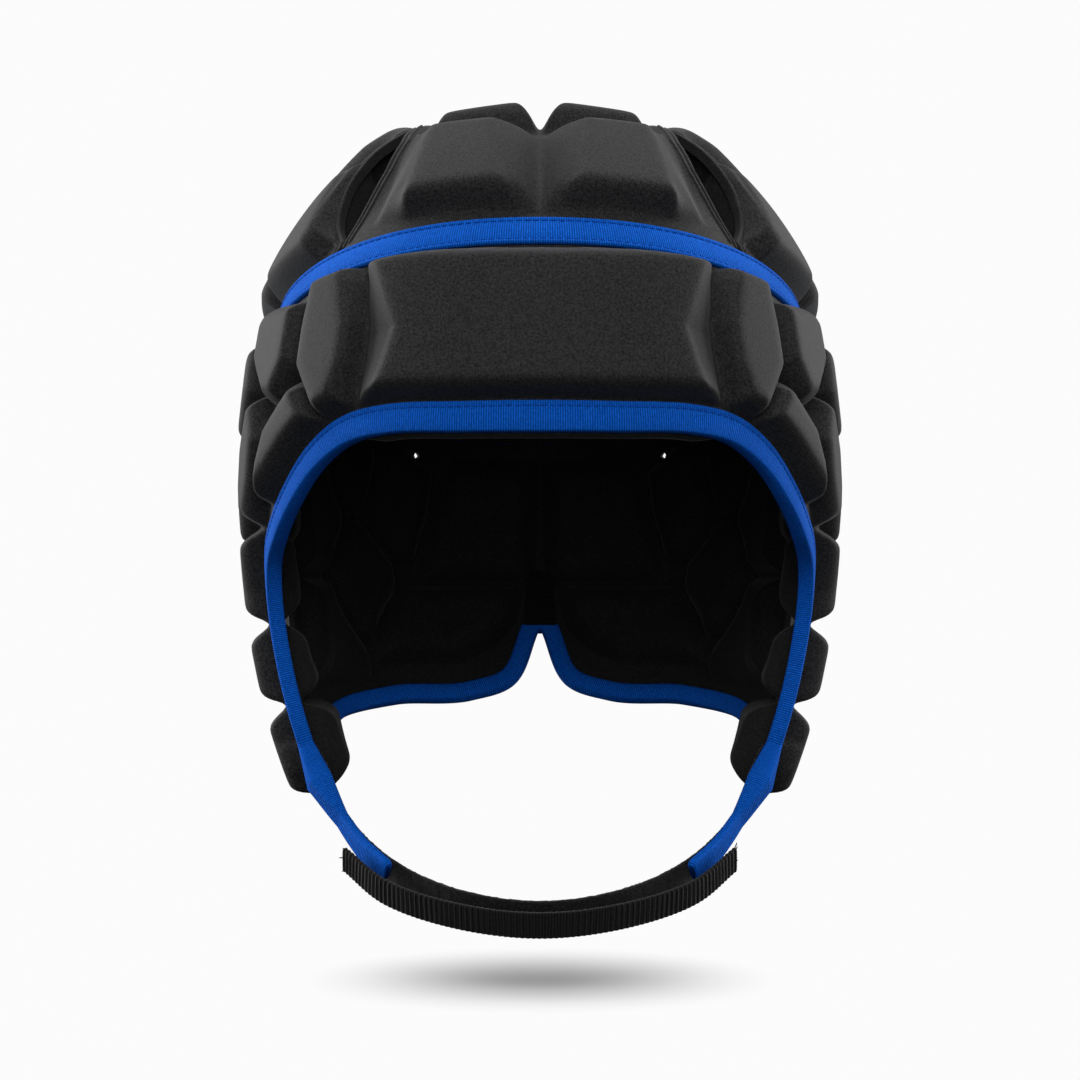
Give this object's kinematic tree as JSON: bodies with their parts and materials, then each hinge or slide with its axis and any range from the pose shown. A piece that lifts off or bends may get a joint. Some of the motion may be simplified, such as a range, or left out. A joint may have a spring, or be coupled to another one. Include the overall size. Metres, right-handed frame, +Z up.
{
  "type": "padded rugby headgear",
  "caption": "Soft padded rugby headgear (scrum cap): hollow fabric shell with raised foam pads, ear holes, vent slits, blue bound edges and a webbing chin strap.",
  "frame": {"origin": "where the top of the head meets the inside of the crown", "axes": "+Z up, the face looks along -Y, the wearer's left is +X"},
  "size_m": [0.19, 0.2184, 0.2605],
  "materials": {
    "foam_pad": "black stretch fabric over moulded foam",
    "shell_fabric": "black knitted fabric",
    "blue_tape": "blue woven binding tape",
    "webbing": "black ribbed webbing"
  },
  "bodies": {
    "root": {"brow_pad": "foam_pad", "crown_strip": "shell_fabric", "crown_band": "blue_tape", "face_binding": "blue_tape", "nape_binding": "blue_tape", "nape_gusset": "webbing", "chin_strap": "webbing", "chin_strap_front": "webbing", "side_wall_left": "shell_fabric", "crown_side_left": "shell_fabric", "temple_pad_left": "foam_pad", "upper_pad_1_left": "foam_pad", "upper_pad_2_left": "foam_pad", "upper_pad_3_left": "foam_pad", "upper_pad_4_left": "foam_pad", "upper_pad_5_left": "foam_pad", "middle_pad_1_left": "foam_pad", "middle_pad_2_left": "foam_pad", "middle_pad_3_left": "foam_pad", "middle_pad_4_left": "foam_pad", "cheek_pad_left": "foam_pad", "jaw_pad_left": "foam_pad", "flap_pad_left": "foam_pad", "rear_side_pad_1_left": "foam_pad", "rear_side_pad_2_left": "foam_pad", "rear_upper_pad_left": "foam_pad", "rear_lower_pad_left": "foam_pad", "crown_side_pad_1_left": "foam_pad", "crown_side_pad_2_left": "foam_pad", "crown_side_pad_3_left": "foam_pad", "crown_pad_1_left": "foam_pad", "crown_pad_2_left": "foam_pad", "crown_pad_3_left": "foam_pad", "crown_pad_4_left": "foam_pad", "side_wall_right": "shell_fabric", "crown_side_right": "shell_fabric", "temple_pad_right": "foam_pad", "upper_pad_1_right": "foam_pad", "upper_pad_2_right": "foam_pad", "upper_pad_3_right": "foam_pad", "upper_pad_4_right": "foam_pad", "upper_pad_5_right": "foam_pad", "middle_pad_1_right": "foam_pad", "middle_pad_2_right": "foam_pad", "middle_pad_3_right": "foam_pad", "middle_pad_4_right": "foam_pad", "cheek_pad_right": "foam_pad", "jaw_pad_right": "foam_pad", "flap_pad_right": "foam_pad", "rear_side_pad_1_right": "foam_pad", "rear_side_pad_2_right": "foam_pad", "rear_upper_pad_right": "foam_pad", "rear_lower_pad_right": "foam_pad", "crown_side_pad_1_right": "foam_pad", "crown_side_pad_2_right": "foam_pad", "crown_side_pad_3_right": "foam_pad", "crown_pad_1_right": "foam_pad", "crown_pad_2_right": "foam_pad", "crown_pad_3_right": "foam_pad", "crown_pad_4_right": "foam_pad"}
  },
  "joints": []
}
